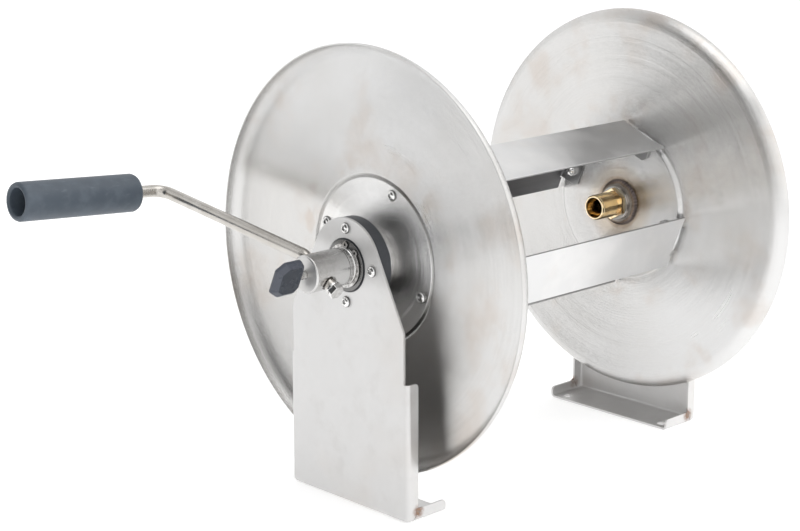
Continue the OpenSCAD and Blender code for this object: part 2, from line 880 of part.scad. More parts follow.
near_bracket();
far_bracket();
near_bearing_block();
far_bearing_block();
near_bearing_screws();
far_bearing_screws();
near_thrust_washer();
far_thrust_washer();
near_circlip();
far_circlip();
near_disc();
far_disc();
drum_bar(0);  // drum_bar_1
drum_bar(1);  // drum_bar_2
drum_bar(2);  // drum_bar_3
drum_bar(3);  // drum_bar_4
near_hub_plate();
far_hub_plate();
near_bar_screws();
far_bar_screws();
near_bar_nuts();
far_bar_nuts();
near_collar();
far_collar();
near_weld_bead();
far_weld_bead();
crank_axle();
inlet_axle();
hose_connector();
crank_rod();
stop_bolt();
stop_washer();
grip_retainer();
crank_grip();
knob_stud();
clamp_knob();
swivel_elbow();
swivel_seals();
swivel_clip();
inlet_nipple();
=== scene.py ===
"""Looks of a hand-cranked stainless hose reel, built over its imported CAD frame.

Everything is in metres. X runs along the drum with the crank at -X, the front is -Y, Z is up.
"""
import json
import math
import bmesh
import bpy
from mathutils import Matrix, Vector

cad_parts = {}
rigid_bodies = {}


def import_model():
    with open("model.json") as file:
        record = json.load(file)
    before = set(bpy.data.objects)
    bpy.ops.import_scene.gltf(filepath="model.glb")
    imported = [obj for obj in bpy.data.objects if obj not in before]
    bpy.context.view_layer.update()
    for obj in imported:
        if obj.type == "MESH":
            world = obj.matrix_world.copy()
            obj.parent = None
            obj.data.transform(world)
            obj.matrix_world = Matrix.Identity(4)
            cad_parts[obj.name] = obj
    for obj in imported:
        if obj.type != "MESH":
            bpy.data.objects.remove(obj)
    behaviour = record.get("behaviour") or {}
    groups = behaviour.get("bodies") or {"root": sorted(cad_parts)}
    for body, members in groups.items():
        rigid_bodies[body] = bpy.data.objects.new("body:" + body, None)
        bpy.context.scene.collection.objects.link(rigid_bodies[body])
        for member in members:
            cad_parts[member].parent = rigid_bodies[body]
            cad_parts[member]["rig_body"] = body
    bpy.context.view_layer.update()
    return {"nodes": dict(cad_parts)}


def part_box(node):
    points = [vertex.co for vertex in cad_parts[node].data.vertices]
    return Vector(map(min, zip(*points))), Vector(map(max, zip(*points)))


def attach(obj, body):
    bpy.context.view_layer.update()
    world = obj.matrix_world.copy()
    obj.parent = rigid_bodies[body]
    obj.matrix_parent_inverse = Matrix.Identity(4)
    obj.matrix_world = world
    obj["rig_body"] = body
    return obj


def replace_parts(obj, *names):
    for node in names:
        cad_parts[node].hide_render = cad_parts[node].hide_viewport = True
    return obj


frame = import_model()

# ---- Camera -----------------------------------------------------------------------------
# A long lens a little above the reel, looking down the drum from the crank's side.
view_turn = math.radians(-43.856)
view_drop = math.radians(14.192)
view_roll = math.radians(-0.097)
view_distance = 1.8073
view_target = Vector((-0.144, 0, 0.2171))
view_lens = 87.0
sensor_width = 36

camera = bpy.data.objects.new("camera", bpy.data.cameras.new("camera"))
camera.data.lens = view_lens
camera.data.sensor_width = sensor_width
view_matrix = Matrix.Rotation(view_turn, 4, "Z") @ Matrix.Rotation(math.pi / 2 - view_drop, 4, "X")
camera.matrix_world = (Matrix.Translation(view_target) @ view_matrix
                       @ Matrix.Rotation(view_roll, 4, "Z")
                       @ Matrix.Translation((0, 0, view_distance)))
bpy.context.scene.collection.objects.link(camera)
bpy.context.scene.camera = camera

# ---- Brackets ---------------------------------------------------------------------------
# Two brackets laser cut from 2.5 mm stainless sheet and folded into a foot, side flanges and
# upturned ends. The corner seams are tacked, and the sheet is bead blasted to a dull grey.
axis_height = sum(corner.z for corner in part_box("far_disc")) / 2
sheet_edge = 0.00035
end_face_y = (0.076, 0.0785)
seam_x = 0.198
seam_top = 0.012
seam_slope = 0.5
seam_line = (0.0002, 0.0006)
seam_fade = 0.0004
tack_height = 0.0095
tack_radius = 0.0031
tack_rise = 0.0007
tack_stretch = 1.2
dimple_depth = 0.6
dimple_narrowing = 2.2
heat_reach = (0.0035, 0.009)
blasted_grey = (0.69, 0.685, 0.68)
blasted_pale = (0.76, 0.755, 0.75)
blasted_warm = (0.67, 0.63, 0.59)
blasted_smoke = (0.60, 0.585, 0.57)
tint_brown = (0.26, 0.14, 0.09)
seam_black = (0.1, 0.07, 0.06)
tack_brown = (0.30, 0.19, 0.13)
tack_grey = (0.30, 0.26, 0.24)
blast_relief = 0.00003
tack_relief = 0.0001
shaded_sharp = math.radians(50)
worth_easing = math.radians(40)
nearly_flat = math.radians(0.5)
same_place = 1e-6
edge_segments = 2


class Wire:
    """A value in a material's nodes. Python's operators on it add Math nodes."""

    def __init__(self, finish, socket):
        self.finish = finish
        self.socket = socket

    def maths(self, operation, *values):
        inputs = dict(enumerate(values))
        return self.finish.add("ShaderNodeMath", {"operation": operation}, inputs)

    def __add__(self, other):
        return self.maths("ADD", self, other)

    def __radd__(self, other):
        return self.maths("ADD", other, self)

    def __sub__(self, other):
        return self.maths("SUBTRACT", self, other)

    def __rsub__(self, other):
        return self.maths("SUBTRACT", other, self)

    def __mul__(self, other):
        return self.maths("MULTIPLY", self, other)

    def __rmul__(self, other):
        return self.maths("MULTIPLY", other, self)

    def __pow__(self, other):
        return self.maths("POWER", self, other)

    def __abs__(self):
        return self.maths("ABSOLUTE", self)

    def root(self):
        return self.maths("SQRT", self)

    def ramp(self, start, end, low=0.0, high=1.0):
        """Runs smoothly from low to high as the value goes from start to end."""
        return self.finish.add("ShaderNodeMapRange", {"interpolation_type": "SMOOTHSTEP"},
                               {0: self, 1: start, 2: end, 3: low, 4: high})


class Finish:
    """One material: a Principled shader, and the nodes that vary it over the surface."""

    noise_roughness = 0.55

    def __init__(self, name, **shader):
        self.material = bpy.data.materials.new(name)
        self.material.use_nodes = True
        self.tree = self.material.node_tree
        self.shader = self.tree.nodes["Principled BSDF"]
        for socket, value in shader.items():
            self.shader.inputs[socket.replace("_", " ")].default_value = value
        self.place = self.add("ShaderNodeTexCoord", output="Object")
        self.x = self.add("ShaderNodeSeparateXYZ", None, {0: self.place}, "X")
        self.y = self.add("ShaderNodeSeparateXYZ", None, {0: self.place}, "Y")
        self.z = self.add("ShaderNodeSeparateXYZ", None, {0: self.place}, "Z")

    def add(self, kind, settings=None, inputs=None, output=0):
        """Adds a node, sets it up, joins its inputs and returns one of its outputs."""
        node = self.tree.nodes.new(kind)
        for name, value in (settings or {}).items():
            setattr(node, name, value)
        for key, value in (inputs or {}).items():
            self.join(value, node.inputs[key])
        return Wire(self, node.outputs[output])

    def join(self, value, socket):
        if isinstance(value, Wire):
            self.tree.links.new(value.socket, socket)
        else:
            socket.default_value = (*value, 1) if socket.type == "RGBA" else value

    def vector(self, x, y, z):
        return self.add("ShaderNodeCombineXYZ", None, {0: x, 1: y, 2: z})

    def noise(self, scale, detail, place=None):
        inputs = {"Vector": place or self.place, "Scale": scale, "Detail": detail,
                  "Roughness": self.noise_roughness}
        return self.add("ShaderNodeTexNoise", None, inputs)

    def mix(self, amount, start, end):
        return self.add("ShaderNodeMix", {"data_type": "RGBA"}, {0: amount, 6: start, 7: end}, 2)

    def colour(self, value):
        self.join(value, self.shader.inputs["Base Color"])

    def roughness(self, value):
        self.join(value, self.shader.inputs["Roughness"])

    def relief(self, height, depth):
        """Bumps the surface by height, from 0 to 1, times depth in metres."""
        bump = self.add("ShaderNodeBump", None, {"Height": height, "Distance": depth})
        self.join(bump, self.shader.inputs["Normal"])


def publish(name, bm, finish, body):
    """Makes a piece of a bmesh, smooth but for its sharp edges, and puts it on a body."""
    for face in bm.faces:
        face.smooth = True
    for edge in bm.edges:
        edge.smooth = len(edge.link_faces) == 2 and edge.calc_face_angle() < shaded_sharp
    mesh = bpy.data.meshes.new(name)
    bm.to_mesh(mesh)
    bm.free()
    mesh.materials.append(finish.material)
    piece = bpy.data.objects.new(name, mesh)
    bpy.context.scene.collection.objects.link(piece)
    weighted = piece.modifiers.new("flat faces stay flat", "WEIGHTED_NORMAL")
    weighted.keep_sharp = True
    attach(piece, body)
    return piece


def eased(node, finish, edge, reshape=None):
    """Stands a copy of a node, with its sharp edges eased, in the node's place."""
    bm = bmesh.new()
    bm.from_mesh(frame["nodes"][node].data)
    bmesh.ops.remove_doubles(bm, verts=bm.verts, dist=same_place)
    if reshape:
        reshape(bm)
    bmesh.ops.dissolve_limit(bm, angle_limit=nearly_flat, verts=bm.verts, edges=bm.edges)
    corners = [e for e in bm.edges if e.is_manifold and e.calc_face_angle() > worth_easing]
    bmesh.ops.bevel(bm, geom=corners, offset=edge, offset_type="OFFSET", affect="EDGES",
                    segments=edge_segments, profile=0.5, material=-1, clamp_overlap=False)
    body = frame["nodes"][node]["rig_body"]
    piece = publish(node + "_eased", bm, finish, body)
    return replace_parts(piece, node)


def blasted_steel():
    """Bead blasted sheet with cloudy patches, and a brown heat tint round the tacked seams."""
    finish = Finish("blasted_steel", Metallic=0.85)
    clouds = finish.noise(14, 4).ramp(0.38, 0.66)
    shifted = finish.vector(finish.y + 0.7, finish.z * 1.4, finish.x)
    stains = finish.noise(6, 3, shifted).ramp(0.52, 0.75)
    smoke = finish.noise(38, 4).ramp(0.5, 0.72)
    sheet = finish.mix(clouds, blasted_grey, blasted_pale)
    sheet = finish.mix(stains * 0.5, sheet, blasted_warm)
    sheet = finish.mix(smoke * 0.3, sheet, blasted_smoke)
    on_end = abs(finish.y).ramp(*end_face_y)
    from_tack = ((abs(finish.x) - seam_x) ** 2 + (finish.z - tack_height) ** 2).root()
    halo = from_tack.ramp(*heat_reach, 1, 0) * on_end
    halo = halo * finish.noise(300, 3).ramp(0.3, 0.6, 0.3, 1)
    from_seam = abs(abs(finish.x) - seam_x - (seam_top - finish.z) * seam_slope)
    seam = from_seam.ramp(*seam_line, 1, 0)
    seam = seam * finish.z.ramp(seam_top, seam_top + seam_fade, 1, 0) * on_end
    sheet = finish.mix(halo * 0.75, sheet, tint_brown)
    finish.colour(finish.mix(seam * 0.8, sheet, seam_black))
    grain = finish.noise(2600, 2)
    finish.roughness(0.40 + 0.12 * clouds + 0.08 * grain)
    finish.relief(grain, blast_relief)
    return finish


blasted = blasted_steel()
for node in ("near_bracket", "far_bracket"):
    eased(node, blasted, sheet_edge)


def tack_steel():
    """Weld metal that cooled in patches of brown and grey."""
    finish = Finish("tack_steel", Metallic=0.8)
    patches = finish.noise(420, 3).ramp(0.35, 0.65)
    finish.colour(finish.mix(patches, tack_brown, tack_grey))
    finish.roughness(0.3 + 0.25 * patches)
    finish.relief(finish.noise(900, 3), tack_relief)
    return finish


# Each corner seam is held by one small tack, a low drop of weld metal with a dimple in it.
tacks = bmesh.new()
foot_end_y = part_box("far_bracket")[1].y
tack_shape = Matrix.Diagonal((1, tack_rise / tack_radius, tack_stretch, 1))
for side_x in (-1, 1):
    for side_y in (-1, 1):
        place = Matrix.Translation((side_x * seam_x, side_y * foot_end_y, tack_height))
        drop = bmesh.ops.create_uvsphere(tacks, u_segments=20, v_segments=12, radius=tack_radius,
                                         matrix=place @ tack_shape)
        for vert in drop["verts"]:
            off = (vert.co - place.translation) / tack_radius
            dip = max(0, 1 - dimple_narrowing * math.hypot(off.x, off.z))
            vert.co.y -= side_y * dip * tack_rise * dimple_depth
publish("bracket_tacks", tacks, tack_steel(), "frame")

# ---- Bearing blocks ---------------------------------------------------------------------
# Charcoal plastic rounds turned on a lathe. Each sits behind its bracket with a spigot through
# the sheet, and is held by four screws from outside.
block_edge = 0.0005
block_dark = (0.044, 0.047, 0.054)
block_pale = (0.078, 0.083, 0.094)
block_rings = 1500
block_relief = 0.00004


def axis_radius(finish):
    """Distance of a point on the surface from the drum's axis."""
    return (finish.y ** 2 + (finish.z - axis_height) ** 2).root()


def tool_rings(finish, radius, density):
    """Noise in rings about the drum's axis, as a turning tool leaves them."""
    return finish.noise(1, 2, finish.vector(radius * density, finish.x * density, 0))


def turned_plastic():
    """Dull plastic with the fine rings of the lathe tool and a few pale scuffs."""
    finish = Finish("turned_plastic", Specular_IOR_Level=0.5)
    rings = tool_rings(finish, axis_radius(finish), block_rings)
    scuffs = finish.noise(90, 4).ramp(0.55, 0.75)
    finish.colour(finish.mix(scuffs * 0.6 + rings * 0.3, block_dark, block_pale))
    finish.roughness(0.33 + 0.12 * rings)
    finish.relief(rings, block_relief)
    return finish


plastic = turned_plastic()
for node in ("near_bearing_block", "far_bearing_block"):
    eased(node, plastic, block_edge)

# ---- Screws and nuts --------------------------------------------------------------------
# Stainless M6 button head screws hold the blocks and the bars, with dome nuts on the bar
# screws inside the drum. All are bright from the factory, with a hexagon socket in each head.
screw_edge = 0.0003
drum_line = (1, 0, 0)
bright_light = (0.80, 0.80, 0.79)
bright_smeared = (0.62, 0.61, 0.60)
button_light = (0.88, 0.88, 0.87)
button_smeared = (0.70, 0.69, 0.68)
button_painted_shade = (0.40, 0.72, 0.9, 0)
painted_shade_black = (0.09, 0.09, 0.09)
polish_relief = 0.000012


def facing_along(finish, direction):
    """How squarely a point of the surface faces along a direction, from 0 to 1."""
    normal = finish.add("ShaderNodeTexCoord", output="Normal")
    return abs(finish.add("ShaderNodeVectorMath", {"operation": "DOT_PRODUCT"},
                          {0: normal, 1: direction}, "Value"))


def polished_steel(name, light, smeared, base_roughness, painted_shade=None):
    """Polished steel with faint smears. It can take painted shade in sockets and round the foot of
    a dome.
    """
    finish = Finish(name, Metallic=1.0)
    smears = finish.noise(350, 3).ramp(0.4, 0.65)
    metal = finish.mix(smears, light, smeared)
    if painted_shade:
        # Painted shade darkens where the surface turns away from the drum's line.
        metal = finish.mix(facing_along(finish, drum_line).ramp(*painted_shade), metal, painted_shade_black)
    finish.colour(metal)
    finish.roughness(base_roughness + 0.08 * smears)
    finish.relief(finish.noise(1800, 2), polish_relief)
    return finish


bright = polished_steel("bright_steel", bright_light, bright_smeared, 0.04)
buttons = polished_steel("button_steel", button_light, button_smeared, 0.06, button_painted_shade)
for side in ("near", "far"):
    eased(side + "_bearing_screws", buttons, screw_edge)
    eased(side + "_bar_screws", buttons, screw_edge)
    eased(side + "_bar_nuts", bright, screw_edge)

# ---- Side discs -------------------------------------------------------------------------
# Each disc is 1.5 mm stainless sheet spun over a former: a pressed centre, a flat field and a
# rolled rim. The spinning tool and the brush leave fine rings, with blotches from handling.
disc_sheet = 0.0015
disc_bore = 0.0176
disc_radius = 0.2
pressed_radius = 0.0765
pressed_run = 0.004
press_rounding = 0.0012
field_x = 0.1775
pressed_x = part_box("far_disc")[0].x
rim_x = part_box("far_disc")[1].x
roll_radius = 0.0135
rim_edge = 0.0004
disc_steps = 256
arc_step = 0.0012
near_side = Matrix.Diagonal((-1, 1, 1, 1))
far_side = Matrix.Identity(4)
on_axis = Matrix.Translation((0, 0, axis_height))
steel_warm = (0.59, 0.58, 0.565)
steel_cool = (0.71, 0.71, 0.71)
steel_pale = (0.70, 0.70, 0.70)
stain_brown = (0.55, 0.46, 0.39)
fine_rings = 1100
broad_rings = 160
heat_tints = ((0.033, 0.050, (0.58, 0.49, 0.38)),
              (0.0285, 0.0325, (0.40, 0.29, 0.20)),
              (0.0265, 0.0290, (0.27, 0.23, 0.19)))
heat_wander = 0.006
smudge_start = (0.079, 0.084)
smudge_end = (0.092, 0.122)
sawn_facing = (0.9, 0.98)


def turned(outline, steps, place):
    """Spins an outline about local X. Each corner is (along X, radius, reach of its rounding)."""
    bm = bmesh.new()
    corners = [bm.verts.new((x, 0, radius)) for x, radius, _ in outline]
    bm.faces.new(corners)
    for corner, (_, _, reach) in zip(corners, outline):
        if reach:
            bmesh.ops.bevel(bm, geom=[corner], offset=reach, offset_type="OFFSET",
                            affect="VERTICES", segments=max(2, int(reach / arc_step)),
                            profile=0.5, material=-1)
    bmesh.ops.delete(bm, geom=bm.faces[:], context="FACES_ONLY")
    bmesh.ops.spin(bm, geom=bm.verts[:] + bm.edges[:], cent=(0, 0, 0), axis=(1, 0, 0),
                   angle=2 * math.pi, steps=steps, use_merge=True)
    bmesh.ops.remove_doubles(bm, verts=bm.verts, dist=same_place)
    bmesh.ops.transform(bm, matrix=place, verts=bm.verts)
    bmesh.ops.recalc_face_normals(bm, faces=bm.faces)
    return bm


disc_outline = [
    (pressed_x, disc_bore, 0),
    (pressed_x, pressed_radius, press_rounding),
    (field_x, pressed_radius + pressed_run, press_rounding),
    (field_x, disc_radius, roll_radius),
    (rim_x, disc_radius, rim_edge),
    (rim_x, disc_radius - disc_sheet, rim_edge),
    (field_x + disc_sheet, disc_radius - disc_sheet, roll_radius - disc_sheet),
    (field_x + disc_sheet, pressed_radius + pressed_run, press_rounding),
    (pressed_x + disc_sheet, pressed_radius, press_rounding),
    (pressed_x + disc_sheet, disc_bore, 0)]


def brushed_round(finish, grain, spread):
    """Leans the normal across the rings by the grain, so reflections fan out from the axis."""
    normal = finish.add("ShaderNodeTexCoord", output="Normal")
    around = finish.vector(0, axis_height - finish.z, finish.y)
    across = finish.add("ShaderNodeVectorMath", {"operation": "CROSS_PRODUCT"},
                        {0: normal, 1: around})
    across = finish.add("ShaderNodeVectorMath", {"operation": "NORMALIZE"}, {0: across})
    lean = finish.add("ShaderNodeVectorMath", {"operation": "SCALE"},
                      {0: across, "Scale": (grain - 0.5) * spread})
    leaned = finish.add("ShaderNodeVectorMath", {"operation": "ADD"}, {0: normal, 1: lean})
    turn = {"vector_type": "NORMAL", "convert_from": "OBJECT", "convert_to": "WORLD"}
    in_world = finish.add("ShaderNodeVectorTransform", turn, {0: leaned})
    finish.join(in_world, finish.shader.inputs["Normal"])


def ringed_steel(name, spread, stain, base_roughness, heat_tint=0.0, shade=1.0,
                 end_roughness=0.0):
    """Spun or turned steel: rings about the axis, blotches, and a heat tint round the weld."""
    finish = Finish(name, Metallic=1.0)
    radius = axis_radius(finish)
    fine = finish.noise(5000, 2)
    rings = tool_rings(finish, radius, fine_rings)
    broad = tool_rings(finish, radius, broad_rings)
    stretched = finish.vector(finish.x * 0.5, finish.y, finish.z)
    blotches = finish.noise(13, 4, stretched).ramp(0.5, 0.7)
    clouds = finish.noise(4.5, 3).ramp(0.35, 0.7)
    # The shade scales both tones of the steel; for some parts it paints light or shade over the
    # whole part.
    dark, light = ([shade * part for part in tone] for tone in (steel_warm, steel_pale))
    metal = finish.mix(broad * 0.35 + clouds * 0.65, dark, light)
    metal = finish.mix(blotches * stain, metal, stain_brown)
    if heat_tint:
        ripple = radius + finish.noise(60, 2) * heat_wander
        for start, end, tint in heat_tints:
            metal = finish.mix(ripple.ramp(start, end, heat_tint, 0), metal, tint)
        shifted = finish.vector(finish.x, finish.y + 0.3, finish.z)
        smudge = finish.noise(32, 4, shifted).ramp(0.48, 0.68)
        smudge = smudge * radius.ramp(*smudge_start) * radius.ramp(*smudge_end, 1, 0)
        metal = finish.mix(smudge * 0.4, metal, stain_brown)
    finish.colour(metal)
    rough = base_roughness + 0.10 * broad + 0.08 * clouds
    if end_roughness:
        rough = rough + facing_along(finish, drum_line).ramp(*sawn_facing) * end_roughness
    finish.roughness(rough)
    brushed_round(finish, fine * 0.80 + rings * 0.16 + broad * 0.04, spread)
    return finish


spun = ringed_steel("spun_steel", 3.4, 0.4, 0.14, heat_tint=0.6, shade=1.07)
for side, turn in (("near", near_side), ("far", far_side)):
    disc = turned(disc_outline, disc_steps, on_axis @ turn)
    disc = publish(side + "_spun_disc", disc, spun, "drum")
    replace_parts(disc, side + "_disc")

# ---- Drum bars --------------------------------------------------------------------------
# Four flat bars of 2 mm sheet carry the hose. A tab is folded down at each end, between two
# relief slots, and screwed to the pressed centre of its disc.
bar_edge = 0.0003
bar_pale = (0.79, 0.785, 0.78)
cut_edge_painted_shade = (0.22, 0.22, 0.22)
inner_painted_shade = (0.15, 0.15, 0.155)
cut_facing = (0.045, 0.065)
inner_facing = (-0.05, -0.02)
bar_relief = 0.00003


def rolled_steel():
    """Mill finish sheet with long lines from the rolls, and painted shade on its cut edges and the
    side to the axis.
    """
    finish = Finish("rolled_steel", Metallic=1.0)
    drawn_out = finish.vector(finish.x * 6, finish.y * 900, finish.z * 900)
    lines = finish.noise(1, 3, drawn_out)
    clouds = finish.noise(16, 4).ramp(0.4, 0.7)
    metal = finish.mix(clouds, steel_cool, bar_pale)
    shifted = finish.vector(finish.x + 0.4, finish.y, finish.z)
    stains = finish.noise(9, 3, shifted).ramp(0.55, 0.75)
    metal = finish.mix(stains * 0.3, metal, stain_brown)
    normal = finish.add("ShaderNodeTexCoord", output="Normal")
    outwards = finish.vector(0, finish.y, finish.z - axis_height)
    facing = finish.add("ShaderNodeVectorMath", {"operation": "DOT_PRODUCT"},
                        {0: normal, 1: outwards}, "Value")
    # Painted shade darkens the cut edges, and more deeply the side that faces the axis.
    cut = facing.ramp(*cut_facing, 1, 0)
    metal = finish.mix(cut * 0.6, metal, cut_edge_painted_shade)
    inner = facing.ramp(*inner_facing, 1, 0)
    finish.colour(finish.mix(inner * (0.75 + 0.25 * lines), metal, inner_painted_shade))
    finish.roughness(0.27 + 0.10 * clouds + 0.06 * lines)
    finish.relief(lines, bar_relief)
    return finish


rolled = rolled_steel()
for number in range(1, 5):
    eased(f"drum_bar_{number}", rolled, bar_edge)

# ---- Hub plates, collars, washers and circlips ------------------------------------------
# Stainless rounds that fill the pressed centre and space the drum from its bearings, with a
# thrust washer and a circlip outside each bracket.
plate_edge = 0.0005
washer_edge = 0.0003
circlip_edge = 0.0002
spring_light = (0.62, 0.61, 0.60)
spring_oiled = (0.36, 0.35, 0.34)
spring_painted_shade = (0.06, 0.06, 0.06)
spring_shade_facing = (0.5, 0.9, 0.9, 0)

# The hub plates are lightened past the other steel, painted light that lifts the shade round the
# hub.
painted_light_plate = ringed_steel("hub_plate_painted_light", 3.8, 0.1, 0.12, shade=1.25)
turned_steel = ringed_steel("turned_steel", 0.5, 0.0, 0.12, shade=1.15)
spring = Finish("spring_steel", Metallic=1.0)
oil = spring.noise(260, 3).ramp(0.35, 0.65)
spring_metal = spring.mix(oil, spring_light, spring_oiled)
# Painted shade: sides that turn away from the drum's line are darkened almost to black.
side_painted_shade = facing_along(spring, drum_line).ramp(*spring_shade_facing)
spring.colour(spring.mix(side_painted_shade, spring_metal, spring_painted_shade))
spring.roughness(0.14 + 0.12 * oil)
# The thrust washers are darkened almost to black, a painted shade for the shadowed gap round each
# circlip.
washer_painted_shade = ringed_steel("washer_painted_shade", 0.5, 0.0, 0.15, shade=0.3)
for side in ("near", "far"):
    eased(side + "_hub_plate", painted_light_plate, plate_edge)
    eased(side + "_collar", turned_steel, plate_edge)
    eased(side + "_thrust_washer", washer_painted_shade, washer_edge)
    eased(side + "_circlip", spring, circlip_edge)

# ---- Weld beads -------------------------------------------------------------------------
# A fillet weld runs round each axle on the hose side of its disc, laid as overlapping ripples
# and left with its heat colours.
axle_radius = 0.0175
bead_gap = 0.0001
bead_radius = 0.024
bead_height = 0.0045
bead_rounding = 0.001
bead_ripples = 44
ripple_steps = 8
ripple_depth = 0.012
ripple_slant = 900
ripple_start = 0.001
bead_straw = (0.50, 0.45, 0.40)
bead_brown = (0.33, 0.25, 0.19)
bead_dark = (0.17, 0.14, 0.13)
bead_band = (0.0185, 0.0255)
bead_wander = 0.003
bead_relief = 0.00006


def weld_steel():
    """Weld metal in bands, from straw at the axle through brown to near black at the disc."""
    finish = Finish("weld_steel", Metallic=0.9)
    radius = axis_radius(finish) + finish.noise(150, 3) * bead_wander
    band = radius.ramp(*bead_band)
    metal = finish.mix(band.ramp(0.2, 0.6), bead_straw, bead_brown)
    finish.colour(finish.mix(band.ramp(0.6, 0.95), metal, bead_dark))
    finish.roughness(0.25 + 0.3 * finish.noise(400, 3))
    finish.relief(finish.noise(1200, 3), bead_relief)
    return finish


welded = weld_steel()
bead_outline = [
    (pressed_x, axle_radius + bead_gap, 0),
    (pressed_x, bead_radius, 0),
    (pressed_x - bead_height * 0.45, bead_radius - 0.0006, bead_rounding),
    (pressed_x - bead_height * 0.85, axle_radius + 0.0035, bead_rounding),
    (pressed_x - bead_height, axle_radius + bead_gap, 0)]
for side, turn in (("near", near_side), ("far", far_side)):
    bead = turned(bead_outline, bead_ripples * ripple_steps, on_axis @ turn)
    for vert in bead.verts:
        off = vert.co - on_axis.translation
        out = math.hypot(off.y, off.z)
        wave = math.cos(math.atan2(off.z, off.y) * bead_ripples + out * ripple_slant)
        off.yz = off.yz * (1 + ripple_depth * wave * (out > axle_radius + ripple_start))
        vert.co = on_axis.translation + off
    ring = publish(side + "_rippled_bead", bead, welded, "drum")
    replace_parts(ring, side + "_weld_bead")

# ---- Axles ------------------------------------------------------------------------------
# A solid stainless bar on the crank side, cross drilled for the rod, and a hollow one on the
# inlet side. Both are turned, with fine rings, soft highlights and sawn, duller ends.
axle_edge = 0.0004
axle_steel = ringed_steel("axle_steel", 0.9, 0.0, 0.10, end_roughness=0.28)
eased("crank_axle", axle_steel, axle_edge)
eased("inlet_axle", axle_steel, axle_edge)

# ---- Brass water fittings ---------------------------------------------------------------
# The hose screws onto the connector inside the drum, and the supply hose onto the nipple of
# the swivel elbow at the far end. All three are machined brass.
thread_pitch = 0.0018
thread_depth = 0.0010
thread_inset = 0.001
thread_lap = 0.0001
thread_steps = 36
ridge_foot = (0, 0.85)
ridge_crest = (0.25, 0.5)
fitting_radius = 0.013
fitting_edge = 0.0003
elbow_edge = 0.0005
clip_edge = 0.0001
connector_length = 0.027
nipple_length = 0.018
brass_yellow = (0.96, 0.79, 0.51)
brass_dull = (0.82, 0.62, 0.38)
brass_rings = 2500
brass_relief = 0.00002


def machined_brass():
    """Yellow brass with tool rings and a little tarnish."""
    finish = Finish("machined_brass", Metallic=1.0)
    tarnish = finish.noise(120, 4).ramp(0.45, 0.7)
    finish.colour(finish.mix(tarnish, brass_yellow, brass_dull))
    tight = finish.vector(finish.x * brass_rings, axis_radius(finish) * brass_rings, 0)
    rings = finish.noise(1, 2, tight)
    finish.roughness(0.12 + 0.16 * tarnish)
    finish.relief(rings, brass_relief)
    return finish


def thread(name, foot, along, length, radius, pitch, depth, finish, body):
    """A helical ridge that climbs from a foot on its axis, for a length along it."""
    bm = bmesh.new()
    side = along.orthogonal().normalized()
    root = -thread_lap - depth
    section = ((ridge_foot[0], root), (ridge_crest[0], 0), (ridge_crest[1], 0),
               (ridge_foot[1], root))
    corners = [bm.verts.new(foot + along * pitch * run + side * (radius + rise))
               for run, rise in section]
    face = bm.faces.new(corners)
    turns = int(length / pitch) - 1
    steps = thread_steps * turns
    bmesh.ops.spin(bm, geom=[face, *face.verts, *face.edges], cent=foot, axis=along,
                   angle=2 * math.pi * turns, dvec=along * pitch * turns / steps, steps=steps)
    bmesh.ops.recalc_face_normals(bm, faces=bm.faces)
    return publish(name, bm, finish, body)


def turned_down(foot, along, length, radius, depth):
    """Gives a reshape that takes a plain length of a node's copy down to its thread's root."""
    def reshape(bm):
        for vert in bm.verts:
            reach = (vert.co - foot).dot(along)
            off = vert.co - foot - along * reach
            on_length = -thread_lap < reach < length + thread_lap
            if on_length and abs(off.length - radius) < 2 * thread_lap:
                vert.co -= off.normalized() * depth
    return reshape


brass = machined_brass()
along_drum = Vector(drum_line)
connector_foot = Vector((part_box("hose_connector")[0].x, 0, axis_height))
eased("hose_connector", brass, fitting_edge,
      turned_down(connector_foot, along_drum, connector_length, fitting_radius, thread_depth))
ridge = thread("connector_thread", connector_foot + along_drum * thread_inset, along_drum,
               connector_length - 2 * thread_inset, fitting_radius, thread_pitch, thread_depth,
               brass, "drum")
eased("swivel_elbow", brass, elbow_edge)
nipple_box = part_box("inlet_nipple")
nipple_foot = Vector(((nipple_box[0].x + nipple_box[1].x) / 2, 0, nipple_box[0].z))
upwards = Vector((0, 0, 1))
eased("inlet_nipple", brass, fitting_edge,
      turned_down(nipple_foot, upwards, nipple_length, fitting_radius, thread_depth))
ridge = thread("inlet_thread", nipple_foot + upwards * thread_inset, upwards,
               nipple_length - 2 * thread_inset, fitting_radius, thread_pitch, thread_depth,
               brass, "swivel")
eased("swivel_clip", spring, clip_edge)

# ---- Crank rod --------------------------------------------------------------------------
# A 12 mm stainless rod goes through the axle, bends down beside the hub, and turns square at
# its outer end to carry the grip. Drawing left long lines on it, and it is a little dull.
rod_radius = 0.006
rod_segments = 40
hub_x = -0.2455
root_slope = math.radians(31)
first_bend = math.radians(23.3)
first_bend_steps = 6
arm_twist = math.radians(4.75)
bend_radius = 0.014
grip_bend_steps = 16
rod_end = -0.0222
root_straight = 0.0199
arm_length = 0.211
rod_tip = 0.149
rod_chamfer = 0.0008
bolt_edge = 0.0004
ring_edge = 0.0002
rod_dull = (0.50, 0.475, 0.44)
rod_pale = (0.62, 0.60, 0.57)
rod_relief = 0.00003

root_place = Matrix.Translation((hub_x, 0, axis_height)) @ Matrix.Rotation(root_slope, 4, "X")
corner_reach = root_straight + bend_radius * math.tan(first_bend / 2)
arm_place = (root_place @ Matrix.Translation((0, corner_reach, 0))
             @ Matrix.Rotation(-first_bend, 4, "X") @ Matrix.Rotation(arm_twist, 4, "Y"))


